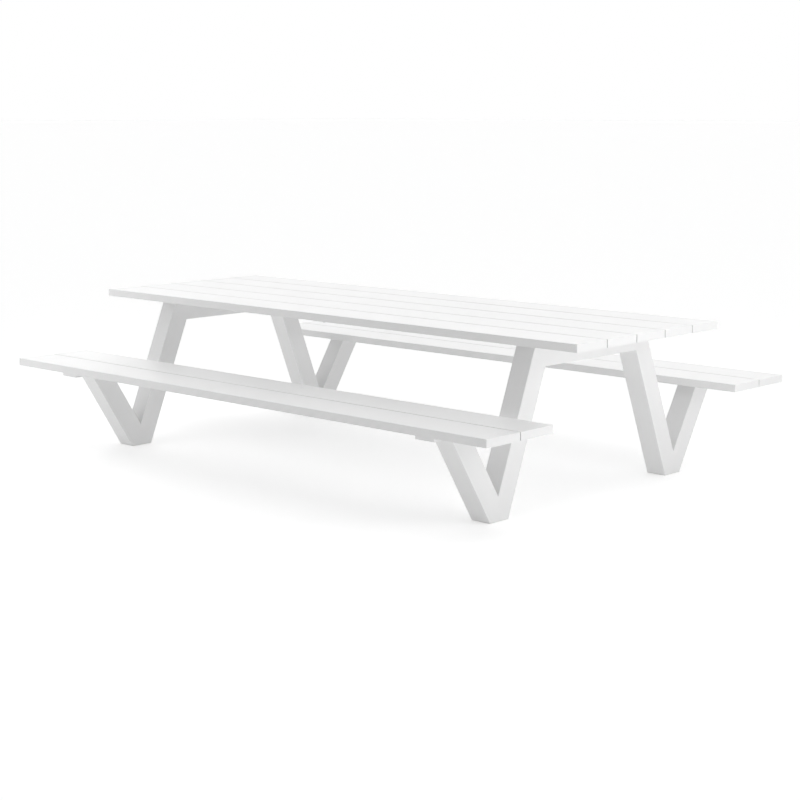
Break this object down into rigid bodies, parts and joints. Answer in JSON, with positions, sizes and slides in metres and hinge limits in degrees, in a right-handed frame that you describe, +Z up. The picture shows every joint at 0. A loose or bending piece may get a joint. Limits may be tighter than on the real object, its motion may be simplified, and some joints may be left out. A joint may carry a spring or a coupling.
{
  "type": "picnic table",
  "caption": "Long picnic table with two fixed benches: white hollow metal planks on two end frames of square tube, with overhanging ends.",
  "frame": {"origin": "on the floor, under the middle of the tabletop", "axes": "+X along the planks, +Y across the table towards the back bench, +Z up"},
  "size_m": [3.05, 2.142, 0.75],
  "materials": {
    "white_coat": "matt white powder coat",
    "white_polyamide": "moulded matt",
    "stainless_steel": "turned and cold-headed, bright"
  },
  "bodies": {
    "root": {"back_bench_batten": "white_coat", "back_bench_plank_1": "white_coat", "back_bench_plank_1_end_left": "white_coat", "back_bench_plank_1_end_right": "white_coat", "back_bench_plank_2": "white_coat", "back_bench_plank_2_end_left": "white_coat", "back_bench_plank_2_end_right": "white_coat", "bench_bearer_left_back": "white_coat", "bench_bearer_left_front": "white_coat", "bench_bearer_right_back": "white_coat", "bench_bearer_right_front": "white_coat", "crossbeam_left": "white_coat", "crossbeam_right": "white_coat", "foot_pad_left_back": "white_polyamide", "foot_pad_left_front": "white_polyamide", "foot_pad_right_back": "white_polyamide", "foot_pad_right_front": "white_polyamide", "front_bench_batten": "white_coat", "front_bench_plank_1": "white_coat", "front_bench_plank_1_end_left": "white_coat", "front_bench_plank_1_end_right": "white_coat", "front_bench_plank_2": "white_coat", "front_bench_plank_2_end_left": "white_coat", "front_bench_plank_2_end_right": "white_coat", "long_leg_left_back": "white_coat", "long_leg_left_front": "white_coat", "long_leg_right_back": "white_coat", "long_leg_right_front": "white_coat", "short_leg_left_back": "white_coat", "short_leg_left_front": "white_coat", "short_leg_right_back": "white_coat", "short_leg_right_front": "white_coat", "table_batten": "white_coat", "table_plank_1": "white_coat", "table_plank_1_end_left": "white_coat", "table_plank_1_end_right": "white_coat", "table_plank_2": "white_coat", "table_plank_2_end_left": "white_coat", "table_plank_2_end_right": "white_coat", "table_plank_3": "white_coat", "table_plank_3_end_left": "white_coat", "table_plank_3_end_right": "white_coat", "table_plank_4": "white_coat", "table_plank_4_end_left": "white_coat", "table_plank_4_end_right": "white_coat", "table_plank_5": "white_coat", "table_plank_5_end_left": "white_coat", "table_plank_5_end_right": "white_coat", "table_plate_left": "white_coat", "table_plate_right": "white_coat"}
  },
  "joints": []
}
